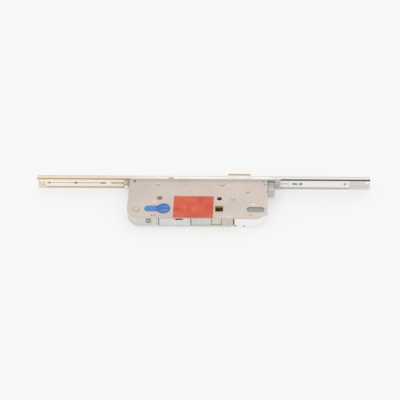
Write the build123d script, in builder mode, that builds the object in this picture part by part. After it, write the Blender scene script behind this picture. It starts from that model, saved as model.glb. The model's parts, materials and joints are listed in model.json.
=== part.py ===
from build123d import *
import os
from math import acos, atan2, cos, hypot, pi, radians, sin, tan

# The centre section of a multipoint door lock, lying on its side, in millimetres.
# X runs up the door, Y runs towards the faceplate, and Z points out of the case cover.
# The origin is on the spindle axis, at half the thickness of the case.

# Sizes that door furniture shares
backset = 60
centre_distance = 72
spindle_square = 10
cylinder_radius = 8.5
cylinder_web = 10
cylinder_height = 33
cylinder_screw_below_axis = 19.5
bolt_throw = 20
latch_throw = 9.5
handle_turn = 36

# Clearances, and the one overrun of every cut
run_gap = 0.3
fit_gap = 0.05
over = 2

# Faceplate, a channel of bent sheet
face_low = -243
face_high = 197.5
face_width = 20
face_depth = 6
face_sheet = 1.75
face_bend = 1.7
face_screw_radius = 2.4
face_screw_head = 3.4
face_screw_inset = 3.1
face_low_inset = 5
web_back = backset - face_sheet
channel_back = backset - face_depth
channel_half = face_width / 2 - face_sheet
face_notch_x = -65
face_notch_width = 6
face_notch_depth = 2.5

# Case: a tray with folded walls and a flat cover
case_low = -119.5
case_high = 59.5
case_back = -17
case_half = 7.5
case_sheet = 1.5
low_corner = 19
high_corner = 14
cover_lip = 3
lip_back = -10
inner_half = case_half - case_sheet

# Drive slider, rods and their gap to the web of the faceplate
drive_thickness = 2.5
drive_gap = 0.15
slider_gap = 0.25
slider_half = channel_half - slider_gap
rod_inset = 2
rod_half = slider_half - rod_inset
drive_front = web_back - drive_gap
drive_back = drive_front - drive_thickness
case_front = drive_back - run_gap
rod_low_inset = 9
rod_high_inset = 27
rod_low = face_low + rod_low_inset
rod_high = face_high - rod_high_inset
lap_length = 13
lower_joint = -150
upper_joint = 91
block_low = 72
block_high = 79.5
block_inset = 0.6
block_half = slider_half - block_inset
block_depth = 1.4
block_teeth = 5
groove_depth = 0.4
groove_width = 0.8
key_length = 7.4
key_width = 2.4
key_proud = 0.3
lower_key_shift = 0.8
cam_low = -192.3
cam_high = 106.4
cam_stud_radius = 2
roller_radius = 4.5
roller_length = 4.5
roller_bore = cam_stud_radius + fit_gap
stud_head = 3.4
stud_head_length = 0.9
roller_gap = 0.4

# Latch
latch_low = 10.5
latch_high = 39.9
latch_half = inner_half - run_gap
latch_length = 14
latch_back = backset - latch_length
latch_nose = 8.5
latch_chamfer = 7.5
tail_thickness = 2.5
tail_low = 20
tail_foot_low = 18
tail_high = 32
tail_foot_top = 7
lug_low = 12.2
lug_top = 1.85
lug_depth = 4
guide_wall = 1.9
guide_lip = 0.8
guide_inset = 0.6

# Deadbolt, its tail and the plate that drives it
bolt_low = -50
bolt_high = -18
cam_plate_thickness = 1.5
bolt_gap = 0.5
bolt_half = inner_half - cam_plate_thickness - bolt_gap
bolt_length = 34
bolt_back = backset - bolt_length
bolt_tail_inset = 4
bolt_tail_length = 21
bolt_tail_back = bolt_back - bolt_tail_length
bolt_tail_step = 0.6
bolt_tail_low_z = bolt_half - bolt_tail_step - tail_thickness
bolt_pin_x = -34
bolt_pin_inset = 6
bolt_pin_y = bolt_back - bolt_pin_inset
bolt_pin_radius = 2
guide_pin_x = -26
guide_pin_lead = 4
guide_pin_y = bolt_back + guide_pin_lead
guide_pin_radius = 2
cam_plate_margin = 4.5

# Follower and the spring that returns the handle
hub_radius = 7.2
follower_radius = 8.6
finger_width = 3.4
latch_finger_reach = 14.5
latch_finger_tip = 2.5
spring_finger_reach = 11.5
spring_finger_tip = 2.2
finger_lead = handle_turn / 2
cap_face_x = 1.2
cap_low = -9.5
cap_high = 3
cap_wall = 1.4
cap_lug_depth = 4.6
housing_low = -35.5
housing_high = -10
housing_depth = 8
housing_end = 2

# Springs
latch_wire = 0.8
latch_coil_room = 1.6
latch_turns = 9
seat_depth = 4.5
handle_wire = 0.9
handle_coil_radius = 1.8
handle_turns = 9

# Gears between the cylinder and the slider
pressure_angle = 20
addendum_share = 0.7
dedendum_share = 0.95
backlash = 0.12
pinion_teeth = 12
idler_teeth = 14
wheel_teeth = 15
flank_points = 5
pinion_direction = 136.58
wheel_direction = -119.06
wheel_gap = 0.75
idler_gap = 1.07
gear_thickness = 2.8
gear_low_z = inner_half - run_gap - gear_thickness
rack_lead = 6
rack_base = 0.4
axle_radius = 2
hub_ring = 3.65
hub_bore = 2.3
hub_inset = 0.5
driver_radius = 9
driver_lift = 1.5
driver_notches = 3
driver_notch_width = 7
driver_notch_depth = 4.5
spacer_radius = 3.6
spacer_gap = 0.2

# Pillars and rivets
pillar_radius = 2.5
spigot_radius = 1.5
head_radius = 2.3
head_height = 0.8
large_pillar_radius = 4
large_head_radius = 4.5
small_pillar_radius = 1.6
front_pillar_x = 3.7
front_pillar_inset = 9.3
latch_pillar_x = 37
latch_pillar_gap = 1.5
seat_pillar_x = 17
large_pillar_inset = 12.2
large_pillar_rise = 15.6
small_pillar_inset = 6.7
small_pillar_drop = 4.4
sleeve_y = 19
sleeve_radius = 4.5
sleeve_bore = 3.3

# End brackets that tie the case to the faceplate
bracket_sheet = 1.5
bracket_inset = 1
bracket_half = inner_half - bracket_inset
stud_radius = 1.6
boss_radius = 4
boss_length = 6.5
boss_gap = 0.2
lower_stud_x = case_low - boss_radius - boss_gap
upper_leg_low = 63
upper_leg_width = 8.6
upper_leg_length = 29.3
bracket_rivet_radius = 1.5
bracket_rivet_head = 2.6
bracket_rivet_edge = 0.9
lower_leg_length = 17.3

# Cover openings and the parts behind the open back wall
slot_low = 35.3
slot_high = 58.9
slot_y = -0.9
slot_width = 10
slot_lap = 0.8
slot_plate_sheet = 0.8
slot_plate_corner = 3
shield_low = -77
shield_high = -36.5
shield_depth = 5
wall_end = -80.6
tab_low = 3.5
tab_high = 18.5
wall_start = 20
window_low = -94
window_high = -87
window_inset = 0.5
window_height = 8
shield_ribs = 4
slit_low = -57.8
slit_high = -47.6

# Sticker and cylinder plug
label_low = -59.3
label_back = -16.8
label_front = 23.2
label_corner = 4
label_thickness = 0.15
plug_proud = 0.8
plug_gap = 0.15
plug_groove = 1.2
cylinder_screw_radius = 2.5
web_round_share = 0.45

os.makedirs("parts", exist_ok=True)
travel = bolt_throw
cylinder_x = -centre_distance
cylinder_end = cylinder_x + cylinder_radius - cylinder_height
cylinder_screw_x = cylinder_x - cylinder_screw_below_axis
upper_stud_x = upper_leg_low + upper_leg_width / 2
upper_leg_back = case_front - upper_leg_length
lower_leg_back = case_front - lower_leg_length
lower_rivet_y = lower_leg_back + bracket_rivet_head + bracket_rivet_edge
upper_rivet_y = (upper_leg_back + case_front) / 2
upper_flange_run = upper_rivet_y - bracket_rivet_head - bracket_sheet - upper_leg_back
window_top = inner_half - window_inset
window_bottom = window_top - window_height

# The pillars stand clear of the latch, and one of them carries the seat of its spring
pillar_places = [
    (front_pillar_x, case_front - front_pillar_inset),
    (latch_pillar_x, latch_back - latch_throw - pillar_radius - latch_pillar_gap),
    (seat_pillar_x, sleeve_y),
]
large_pillar_place = (case_low + large_pillar_inset, case_back + large_pillar_rise)
small_pillar_place = (case_low + small_pillar_inset, case_front - small_pillar_drop)
seat_y = sleeve_y + pillar_radius
seat_bottom = -latch_half + tail_thickness + 2 * run_gap
latch_coil_radius = (inner_half - seat_bottom - latch_coil_room - latch_wire) / 2

# The gears fill the height between the rack and the cylinder, so their module follows it
pinion_rise = sin(radians(pinion_direction))
wheel_drop = -sin(radians(wheel_direction))
upper_modules = dedendum_share + pinion_teeth / 2 + (pinion_teeth + idler_teeth) / 2 * pinion_rise
lower_modules = (idler_teeth + wheel_teeth) / 2 * wheel_drop + wheel_teeth / 2 + addendum_share
gear_height = drive_back - rack_base - cylinder_radius - wheel_gap
gear_module = gear_height / (upper_modules + lower_modules)
pitch = pi * gear_module
addendum = addendum_share * gear_module
dedendum = dedendum_share * gear_module
pitch_line = drive_back - rack_base - dedendum
pinion_radius = gear_module * pinion_teeth / 2
idler_radius = gear_module * idler_teeth / 2
wheel_radius = gear_module * wheel_teeth / 2
cam_plate_low = bolt_pin_x - travel - cam_plate_margin
idler_x = cam_plate_low - idler_gap - idler_radius - addendum
pinion_x = idler_x + (pinion_radius + idler_radius) * cos(radians(pinion_direction))
pinion_y = pitch_line - pinion_radius
idler_y = pinion_y - (pinion_radius + idler_radius) * pinion_rise
wheel_x = idler_x + (wheel_radius + idler_radius) * cos(radians(wheel_direction))
wheel_y = idler_y - (wheel_radius + idler_radius) * wheel_drop
rack_low = pinion_x - travel - rack_lead
rack_high = pinion_x + rack_lead
driver_low_z = driver_lift - inner_half


def keep(piece, name):
    """Names a finished piece and writes it."""
    piece.part.label = name
    export_step(piece.part, f"parts/{name}.step")


def front_plane(y):
    """The plane at this Y that looks along -Y, with X to the right and Z up."""
    return Plane(origin=(0, y, 0), x_dir=(1, 0, 0), z_dir=(0, -1, 0))


def screw_plane(x, y):
    """The plane of a hole that is drilled along -Y from this place."""
    return Plane(origin=(x, y, 0), x_dir=(1, 0, 0), z_dir=(0, 1, 0))


# Faceplate

with BuildPart() as faceplate:
    with BuildSketch(Plane.YZ.offset(face_low)) as channel:
        with Locations((backset - face_depth / 2, 0)):
            Rectangle(face_depth, face_width)
        fillet(channel.vertices().group_by(Axis.X)[-1], face_bend)
        with Locations((channel_back + (face_depth - face_sheet - over) / 2, 0)):
            Rectangle(face_depth - face_sheet + over, 2 * channel_half, mode=Mode.SUBTRACT)
    extrude(amount=face_high - face_low)
    # Openings in the web for the latch guide, the deadbolt and the two cam studs
    with BuildSketch(front_plane(backset + over)):
        with Locations(((latch_low + latch_high) / 2, 0)):
            Rectangle(latch_high - latch_low + 2 * guide_wall, 2 * (latch_half + guide_wall))
        with Locations(((bolt_low + bolt_high) / 2, 0)):
            Rectangle(bolt_high - bolt_low + 2 * run_gap, 2 * (bolt_half + run_gap))
        with Locations((cam_low + travel / 2, 0), (cam_high + travel / 2, 0)):
            SlotCenterToCenter(travel, 2 * (cam_stud_radius + run_gap))
        with Locations((lower_stud_x, 0), (upper_stud_x, 0)):
            Circle(stud_radius + fit_gap)
    extrude(amount=face_sheet + 2 * over, mode=Mode.SUBTRACT)
    # Recesses of the guide's side wings, and the notch of the upper flange
    with BuildSketch(front_plane(backset + over)):
        with Locations(((latch_low + latch_high) / 2, 0)):
            Rectangle(latch_high - latch_low + 2 * guide_wall, face_width + over)
            Rectangle(
                latch_high - latch_low + 2 * guide_wall,
                face_width - 2 * guide_inset,
                mode=Mode.SUBTRACT,
            )
    extrude(amount=face_depth + 2 * over, mode=Mode.SUBTRACT)
    with BuildSketch(Plane.XY.offset(channel_half - over)):
        with Locations((face_notch_x, channel_back + face_notch_depth / 2)):
            Rectangle(face_notch_width, face_notch_depth)
    extrude(amount=face_sheet + 2 * over, mode=Mode.SUBTRACT)
    for screw_x in (face_low + face_low_inset, face_high - face_screw_inset):
        with Locations(screw_plane(screw_x, backset)):
            CounterSinkHole(face_screw_radius, face_screw_head, face_sheet + over)
    with Locations(screw_plane(cylinder_screw_x, backset)):
        CounterSinkHole(cylinder_screw_radius + fit_gap, face_screw_head + fit_gap, face_sheet + over)
keep(faceplate, "faceplate")


# Case


def plate_outline():
    """The outline of the case, from its rounded back corners to its open front."""
    with BuildSketch() as outline:
        with Locations(((case_low + case_high) / 2, (case_back + case_front) / 2)):
            Rectangle(case_high - case_low, case_front - case_back)
        fillet(outline.vertices().group_by(Axis.Y)[0].sort_by(Axis.X)[0], low_corner)
        fillet(outline.vertices().group_by(Axis.Y)[0].sort_by(Axis.X)[-1], high_corner)
    return outline.sketch


def plug_outline(gap):
    """The euro cylinder's profile, grown by a gap."""
    web_end = cylinder_end - gap
    with BuildSketch() as outline:
        with Locations((cylinder_x, 0)):
            Circle(cylinder_radius + gap)
        with Locations(((web_end + cylinder_x) / 2, 0)):
            RectangleRounded(
                cylinder_x - web_end, cylinder_web + 2 * gap, (cylinder_web + 2 * gap) * web_round_share
            )
        with Locations(((web_end + 3 * cylinder_x) / 4, 0)):
            Rectangle((cylinder_x - web_end) / 2, cylinder_web + 2 * gap)
    return outline.sketch


def spigot_places():
    """The places of the holes that the pillars' spigots pass through."""
    return [*pillar_places, large_pillar_place, small_pillar_place]


with BuildPart() as case_tray:
    with BuildSketch(Plane.XY.offset(-case_half)):
        add(plate_outline())
        Circle(hub_radius + fit_gap, mode=Mode.SUBTRACT)
        with Locations(*spigot_places()):
            Circle(spigot_radius + fit_gap, mode=Mode.SUBTRACT)
        with Locations((0, sleeve_y)):
            Circle(sleeve_bore, mode=Mode.SUBTRACT)
        with Locations((wheel_x, wheel_y)):
            Circle(hub_ring + fit_gap, mode=Mode.SUBTRACT)
        with Locations((guide_pin_x, guide_pin_y), (pinion_x, pinion_y), (idler_x, idler_y)):
            Circle(spigot_radius + fit_gap, mode=Mode.SUBTRACT)
        add(plug_outline(plug_gap), mode=Mode.SUBTRACT)
    extrude(amount=case_sheet)
keep(case_tray, "case_tray")

# The walls that are folded up from the tray, one round each back corner
with BuildPart() as case_walls:
    with BuildSketch(Plane.XY.offset(-inner_half)):
        add(plate_outline())
        with BuildSketch(mode=Mode.SUBTRACT):
            offset(plate_outline(), amount=-case_sheet)
            with Locations(((case_low + case_high) / 2, case_front)):
                Rectangle(case_high - case_low - 2 * case_sheet, 2 * case_sheet + over)
            with Locations(((wall_end + wall_start) / 2, case_back)):
                Rectangle(wall_start - wall_end, 2 * (case_sheet + over))
            # The notch for the bracket plates
            with Locations((case_low, case_front)):
                Rectangle(2 * (case_sheet + over), 2 * (bracket_sheet + run_gap))
    extrude(amount=2 * inner_half)
    # The window in the back wall
    with BuildSketch(front_plane(case_back + case_sheet + over)):
        with Locations(((window_low + window_high) / 2, (window_bottom + window_top) / 2)):
            RectangleRounded(window_high - window_low, window_top - window_bottom, case_sheet)
    extrude(amount=case_sheet + 2 * over, mode=Mode.SUBTRACT)
    # Rivet holes through the side walls
    with BuildSketch(Plane.YZ.offset(case_low - over)):
        with Locations((lower_rivet_y, 0)):
            Circle(bracket_rivet_radius + fit_gap)
    extrude(amount=case_sheet + 2 * over, mode=Mode.SUBTRACT)
    with BuildSketch(Plane.YZ.offset(case_high - case_sheet - over)):
        with Locations((upper_rivet_y, 0)):
            Circle(bracket_rivet_radius + fit_gap)
    extrude(amount=case_sheet + 2 * over, mode=Mode.SUBTRACT)
for wall, name in zip(case_walls.solids().sort_by(Axis.X), ("case_lower_wall", "case_upper_wall")):
    with BuildPart() as folded_wall:
        add(wall)
    keep(folded_wall, name)

with BuildPart() as case_cover:
    with BuildSketch(Plane.XY.offset(inner_half)):
        add(plate_outline())
        with Locations((case_high + cover_lip / 2, (lip_back + case_front) / 2)):
            Rectangle(cover_lip, case_front - lip_back)
        with Locations((case_high - case_sheet, (lip_back + case_front) / 2)):
            Rectangle(2 * case_sheet, case_front - lip_back)
    extrude(amount=case_sheet)
    # The tab that is folded down over the open back
    with BuildSketch(Plane.XY.offset(-inner_half)):
        with Locations(((tab_low + tab_high) / 2, case_back + case_sheet / 2)):
            Rectangle(tab_high - tab_low, case_sheet)
    extrude(amount=2 * inner_half)
    with BuildSketch(Plane.XY.offset(-case_half)):
        Circle(hub_radius + fit_gap)
        with Locations(*spigot_places()):
            Circle(spigot_radius + fit_gap)
        with Locations((0, sleeve_y)):
            Circle(sleeve_bore)
        with Locations((wheel_x, wheel_y)):
            Circle(hub_ring + fit_gap)
        with Locations((pinion_x, pinion_y)):
            Circle(spigot_radius + fit_gap)
        with Locations(((slot_low + slot_high) / 2, slot_y)):
            SlotOverall(slot_high - slot_low, slot_width)
        add(plug_outline(plug_gap))
    extrude(amount=2 * case_half + over, mode=Mode.SUBTRACT)
keep(case_cover, "case_cover")

with BuildPart() as slot_plate:
    # A thin plate that closes the cover's slot from below
    plate_low = slot_low - slot_lap
    plate_high = case_high - case_sheet - run_gap
    with BuildSketch(Plane.XY.offset(inner_half - slot_plate_sheet)):
        with Locations(((plate_low + plate_high) / 2, slot_y)):
            RectangleRounded(plate_high - plate_low, slot_width + 2 * slot_lap, slot_plate_corner)
    extrude(amount=slot_plate_sheet)
keep(slot_plate, "slot_plate")


def pillar(place, radius, top_head):
    """A pillar between the plates, with spigots through both and a head on the cover."""
    x, y = place
    with BuildPart() as post:
        with Locations((x, y, 0)):
            Cylinder(radius, 2 * inner_half)
            Cylinder(spigot_radius, 2 * case_half)
        with Locations((x, y, case_half + head_height / 2), (x, y, -case_half - head_height / 2)):
            Cylinder(top_head, head_height)
        fillet(post.edges().group_by(Axis.Z)[-1], head_height / 2)
    return post.part


with BuildPart() as case_pillars:
    for place in pillar_places:
        add(pillar(place, pillar_radius, head_radius))
    add(pillar(large_pillar_place, large_pillar_radius, large_head_radius))
    add(pillar(small_pillar_place, small_pillar_radius, small_pillar_radius))
keep(case_pillars, "case_pillars")

with BuildPart() as fixing_sleeve:
    with Locations((0, sleeve_y, 0)):
        Cylinder(sleeve_radius, 2 * inner_half)
        Cylinder(sleeve_bore, 2 * inner_half + over, mode=Mode.SUBTRACT)
keep(fixing_sleeve, "fixing_sleeve")

with BuildPart() as gear_axles:
    # The pinion's axle is riveted in both plates, the idler's only in the base
    with Locations((pinion_x, pinion_y, 0)):
        Cylinder(axle_radius, 2 * inner_half)
        Cylinder(spigot_radius, 2 * case_half)
    with Locations((pinion_x, pinion_y, case_half + head_height / 2)):
        Cylinder(head_radius, head_height)
    with Locations((idler_x, idler_y, 0)):
        Cylinder(axle_radius, 2 * inner_half)
    with Locations((idler_x, idler_y, -(case_half + inner_half) / 2)):
        Cylinder(spigot_radius, case_sheet)
keep(gear_axles, "gear_axles")

with BuildPart() as gear_spacers:
    # Spacers between the base and the two gears that run on axles
    spacer_height = gear_low_z - spacer_gap + inner_half
    for x, y in ((pinion_x, pinion_y), (idler_x, idler_y)):
        with Locations((x, y, -inner_half + spacer_height / 2)):
            Cylinder(spacer_radius, spacer_height)
            Cylinder(axle_radius + fit_gap, spacer_height + over, mode=Mode.SUBTRACT)
keep(gear_spacers, "gear_spacers")

with BuildPart() as bolt_guide_pin:
    pin_top = bolt_tail_low_z + tail_thickness + run_gap / 2
    with Locations((guide_pin_x, guide_pin_y, (pin_top - inner_half) / 2)):
        Cylinder(guide_pin_radius, pin_top + inner_half)
    with Locations((guide_pin_x, guide_pin_y, -(case_half + inner_half) / 2)):
        Cylinder(spigot_radius, case_sheet)
keep(bolt_guide_pin, "bolt_guide_pin")

with BuildPart() as spring_seat:
    # A block on the middle pillar that the latch spring pushes against
    seat_low_x = pillar_places[2][0] - pillar_radius - bracket_sheet
    seat_high_x = (tail_low + tail_high) / 2 + latch_coil_radius + latch_wire
    with BuildSketch(Plane.XY.offset(seat_bottom)):
        with Locations(((seat_low_x + seat_high_x) / 2, seat_y - seat_depth / 2)):
            Rectangle(seat_high_x - seat_low_x, seat_depth)
        with Locations(pillar_places[2]):
            Circle(pillar_radius + bracket_sheet)
            Circle(pillar_radius + fit_gap, mode=Mode.SUBTRACT)
    extrude(amount=inner_half - fit_gap - seat_bottom)
keep(spring_seat, "spring_seat")

# End brackets


def boss_stud(x):
    """A stepped stud: a boss behind the bracket and a shank through to the web."""
    with BuildPart() as stud:
        with BuildSketch(front_plane(case_front - bracket_sheet)):
            with Locations((x, 0)):
                Circle(boss_radius)
        extrude(amount=boss_length)
        with BuildSketch(front_plane(backset)):
            with Locations((x, 0)):
                Circle(stud_radius)
        extrude(amount=backset - case_front + bracket_sheet)
        with BuildSketch(front_plane(case_front - bracket_sheet - boss_length)):
            with Locations((x, 0)):
                Circle(stud_radius)
        extrude(amount=-boss_length / 2, mode=Mode.SUBTRACT)
    return stud.part


def side_rivet(wall_low, wall_high, y):
    """A rivet along X through a bracket and the wall of the case."""
    with BuildPart() as rivet:
        with BuildSketch(Plane.YZ.offset(wall_low)):
            with Locations((y, 0)):
                Circle(bracket_rivet_radius)
        extrude(amount=wall_high - wall_low)
        with BuildSketch(Plane.YZ.offset(wall_low - head_height)):
            with Locations((y, 0)):
                Circle(bracket_rivet_head)
        extrude(amount=head_height)
        with BuildSketch(Plane.YZ.offset(wall_high)):
            with Locations((y, 0)):
                Circle(bracket_rivet_head)
        extrude(amount=head_height)
    return rivet.part


lower_leg_x = case_low + case_sheet + fit_gap
with BuildPart() as lower_bracket:
    with BuildSketch(Plane.XY.offset(-bracket_half)):
        with Locations(((lower_stud_x - boss_radius + lower_leg_x) / 2, case_front - bracket_sheet / 2)):
            Rectangle(lower_leg_x - lower_stud_x + boss_radius, bracket_sheet)
        with Locations((lower_leg_x + bracket_sheet / 2, (lower_leg_back + case_front) / 2)):
            Rectangle(bracket_sheet, case_front - lower_leg_back)
    extrude(amount=2 * bracket_half)
    with BuildSketch(front_plane(case_front + over)):
        with Locations((lower_stud_x, 0)):
            Circle(stud_radius + fit_gap)
    extrude(amount=bracket_sheet + 2 * over, mode=Mode.SUBTRACT)
    with BuildSketch(Plane.YZ.offset(lower_leg_x - over)):
        with Locations((lower_rivet_y, 0)):
            Circle(bracket_rivet_radius + fit_gap)
    extrude(amount=bracket_sheet + 2 * over, mode=Mode.SUBTRACT)
keep(lower_bracket, "lower_bracket")

with BuildPart() as lower_stud:
    add(boss_stud(lower_stud_x))
keep(lower_stud, "lower_bracket_stud")

with BuildPart() as lower_bracket_rivet:
    add(side_rivet(case_low, lower_leg_x + bracket_sheet, lower_rivet_y))
keep(lower_bracket_rivet, "lower_bracket_rivet")

with BuildPart() as upper_bracket:
    # A channel open towards +X, closed at its front by the pad that the stud holds
    leg_length = case_front - upper_leg_back
    leg_centre = (upper_stud_x, upper_leg_back + leg_length / 2)
    with BuildSketch(Plane.XY.offset(-bracket_half)):
        with Locations(leg_centre):
            Rectangle(upper_leg_width, leg_length)
    extrude(amount=2 * bracket_half)
    fillet(upper_bracket.edges().filter_by(Axis.Z).group_by(Axis.Y)[0], bracket_sheet)
    with BuildSketch(Plane.XY.offset(-bracket_half + bracket_sheet)):
        with Locations((upper_stud_x + bracket_sheet, leg_centre[1] - bracket_sheet - over)):
            Rectangle(upper_leg_width, leg_length + 2 * over)
    extrude(amount=2 * (bracket_half - bracket_sheet), mode=Mode.SUBTRACT)
    # Past the rivet only the top flange of the channel runs on
    with BuildSketch(Plane.XY.offset(-bracket_half - over)):
        with Locations((upper_stud_x, upper_leg_back + (upper_flange_run - over) / 2)):
            Rectangle(upper_leg_width + 2 * over, upper_flange_run + over)
    extrude(amount=2 * bracket_half - bracket_sheet + over, mode=Mode.SUBTRACT)
    with BuildSketch(front_plane(case_front + over)):
        with Locations((upper_stud_x, 0)):
            Circle(stud_radius + fit_gap)
    extrude(amount=bracket_sheet + 2 * over, mode=Mode.SUBTRACT)
    with BuildSketch(Plane.YZ.offset(upper_leg_low - over)):
        with Locations((upper_rivet_y, 0)):
            Circle(bracket_rivet_radius + fit_gap)
    extrude(amount=bracket_sheet + 2 * over, mode=Mode.SUBTRACT)
keep(upper_bracket, "upper_bracket")

with BuildPart() as upper_stud:
    # The stud's boss is shorter than the lower one, to fit between the bracket's legs
    add(boss_stud(upper_stud_x))
    with BuildSketch(Plane.XY.offset(bracket_half - bracket_sheet - fit_gap)):
        with Locations((upper_stud_x, case_front - boss_length)):
            Rectangle(2 * boss_radius + over, 2 * boss_length)
    extrude(amount=boss_radius, mode=Mode.SUBTRACT)
    with BuildSketch(Plane.XY.offset(-bracket_half + bracket_sheet + fit_gap)):
        with Locations((upper_stud_x, case_front - boss_length)):
            Rectangle(2 * boss_radius + over, 2 * boss_length)
    extrude(amount=-boss_radius, mode=Mode.SUBTRACT)
    with BuildSketch(Plane.XY.offset(-bracket_half)):
        with Locations((upper_leg_low + bracket_sheet + fit_gap - boss_radius, case_front - boss_length)):
            Rectangle(2 * boss_radius, 2 * boss_length)
    extrude(amount=2 * bracket_half, mode=Mode.SUBTRACT)
    with BuildSketch(front_plane(backset)):
        with Locations((upper_stud_x, 0)):
            Circle(stud_radius)
    extrude(amount=backset - case_front + bracket_sheet)
keep(upper_stud, "upper_bracket_stud")

with BuildPart() as upper_bracket_rivet:
    # The rivet also carries a spacer between the wall and the bracket
    add(side_rivet(case_high - case_sheet, upper_leg_low + bracket_sheet, upper_rivet_y))
    with BuildSketch(Plane.YZ.offset(case_high + fit_gap)):
        with Locations((upper_rivet_y, 0)):
            Circle(bracket_rivet_head)
    extrude(amount=upper_leg_low - case_high - 2 * fit_gap)
keep(upper_bracket_rivet, "upper_bracket_rivet")

# Latch guide, a plastic clip round the latch opening

with BuildPart() as latch_guide:
    guide_x = (latch_low + latch_high) / 2
    guide_length = latch_high - latch_low + 2 * guide_wall
    # The lip on the front, and the wings in the recesses of the flanges
    with BuildSketch(front_plane(backset + guide_lip)):
        with Locations((guide_x, 0)):
            Rectangle(guide_length - fit_gap, face_width)
    extrude(amount=guide_lip + face_depth)
    with BuildSketch(front_plane(backset)):
        with Locations((guide_x, 0)):
            Rectangle(guide_length + over, face_width - 2 * guide_inset + 2 * fit_gap)
    extrude(amount=face_depth + over, mode=Mode.SUBTRACT)
    # The collar inside the web's opening
    with BuildSketch(front_plane(backset)):
        with Locations((guide_x, 0)):
            Rectangle(guide_length - 2 * fit_gap, 2 * (latch_half + guide_wall - fit_gap))
    extrude(amount=face_sheet - fit_gap)
    with BuildSketch(front_plane(backset + guide_lip + over)):
        with Locations((guide_x, 0)):
            Rectangle(latch_high - latch_low + 2 * run_gap, 2 * (latch_half + run_gap))
    extrude(amount=guide_lip + face_sheet + 2 * over, mode=Mode.SUBTRACT)
keep(latch_guide, "latch_guide")

# Drive


def rack_tooth(centre):
    """One straight-sided rack tooth that points along -Y."""
    half = (pitch / 2 - backlash) / 2
    tip = half - addendum * tan(radians(pressure_angle))
    root = half + dedendum * tan(radians(pressure_angle))
    with BuildSketch() as tooth:
        with BuildLine():
            Polyline(
                (centre - root, pitch_line + dedendum),
                (centre - tip, pitch_line - addendum),
                (centre + tip, pitch_line - addendum),
                (centre + root, pitch_line + dedendum),
                close=True,
            )
        make_face()
    return tooth.sketch


rack_count = int((rack_high - rack_low) / pitch)
rack_start = rack_low + pitch / 2
groove_low = cam_low + cam_stud_radius
groove_high = cam_high - cam_stud_radius
lower_key_x = lower_joint - lap_length / 2 + lower_key_shift
upper_key_x = upper_joint + lap_length / 2 + key_width / 2
lap_gap = fit_gap / 2
middle_y = (drive_front + drive_back) / 2

with BuildPart() as drive_slider:
    with BuildSketch(front_plane(drive_front)):
        with Locations(((case_low + case_high) / 2, 0)):
            Rectangle(case_high - case_low, 2 * slider_half)
        with Locations(((lower_joint + upper_joint) / 2, 0)):
            Rectangle(upper_joint - lower_joint, 2 * rod_half)
        with Locations(((latch_low + latch_high - travel) / 2, 0)):
            Rectangle(
                latch_high - latch_low + travel + 2 * run_gap,
                2 * (latch_half + run_gap),
                mode=Mode.SUBTRACT,
            )
        with Locations(((bolt_low + bolt_high - travel) / 2, 0)):
            Rectangle(
                bolt_high - bolt_low + travel + 2 * run_gap,
                2 * (bolt_half + run_gap),
                mode=Mode.SUBTRACT,
            )
        with Locations((lower_stud_x - travel / 2, 0), (upper_stud_x - travel / 2, 0)):
            SlotCenterToCenter(travel, 2 * (stud_radius + run_gap), mode=Mode.SUBTRACT)
        with Locations((cylinder_screw_x - travel / 2, 0)):
            SlotCenterToCenter(travel, 2 * cylinder_screw_radius + fit_gap, mode=Mode.SUBTRACT)
    extrude(amount=drive_thickness)
    # The tongues that lap with the rods
    with BuildSketch(front_plane(drive_front)):
        with Locations((lower_joint - lap_length / 2, 0), (upper_joint + lap_length / 2, 0)):
            Rectangle(lap_length, 2 * rod_half)
        with Locations((lower_key_x, 0), (upper_key_x, 0)):
            SlotOverall(key_length, key_width, mode=Mode.SUBTRACT)
    extrude(amount=drive_thickness / 2)
    # The rack, beside the slot of the cylinder screw
    with BuildSketch(Plane.XY.offset(gear_low_z)):
        with Locations(((rack_low + rack_high) / 2, drive_back - rack_base / 2)):
            Rectangle(rack_high - rack_low, rack_base)
        for k in range(rack_count):
            add(rack_tooth(rack_start + k * pitch))
    extrude(amount=gear_thickness)
    # The stamped line between the upper stud slot and the upper rod
    with BuildSketch(front_plane(drive_back + groove_depth)):
        with Locations(((block_high + upper_joint) / 2, 0)):
            Rectangle(upper_joint - block_high, groove_width)
    extrude(amount=groove_depth + over, mode=Mode.SUBTRACT)
keep(drive_slider, "drive_slider")


def rod_body(end, joint, sign, cam_x, key_x):
    """A drive rod from its free end to the lap joint with the slider."""
    lap_end = joint + sign * lap_length
    with BuildPart() as rod:
        with BuildSketch(front_plane(drive_front)):
            with Locations(((end + lap_end) / 2, 0)):
                Rectangle(abs(end - lap_end), 2 * rod_half)
        extrude(amount=drive_thickness)
        with BuildSketch(front_plane(middle_y - lap_gap)):
            with Locations(((joint + lap_end) / 2, 0)):
                Rectangle(lap_length, 2 * rod_half)
        extrude(amount=drive_thickness / 2 - lap_gap)
        with BuildSketch(front_plane(drive_front + over)):
            with Locations((cam_x, 0)):
                Circle(cam_stud_radius + fit_gap)
            with Locations((key_x, 0)):
                SlotOverall(key_length + 2 * fit_gap, key_width + 2 * fit_gap)
            # The hole near the free end takes an extension rod
            with Locations((end - sign * rod_half, 0)):
                Circle(cam_stud_radius)
        extrude(amount=drive_thickness + 2 * over, mode=Mode.SUBTRACT)
        with BuildSketch(front_plane(drive_back + groove_depth)):
            with Locations(((cam_x + key_x) / 2, 0)):
                Rectangle(abs(cam_x - key_x), groove_width)
        extrude(amount=groove_depth + over, mode=Mode.SUBTRACT)
        fillet(rod.edges().filter_by(Axis.Y).sort_by(Axis.X)[end_edges(sign)], groove_width)
    return rod.part


def end_edges(sign):
    """The two corner edges at the free end, counted from the low or the high X."""
    return slice(0, 2) if sign < 0 else slice(-2, None)


with BuildPart() as lower_rod:
    add(rod_body(rod_low, lower_joint, -1, cam_low, lower_key_x))
keep(lower_rod, "lower_rod")

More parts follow.
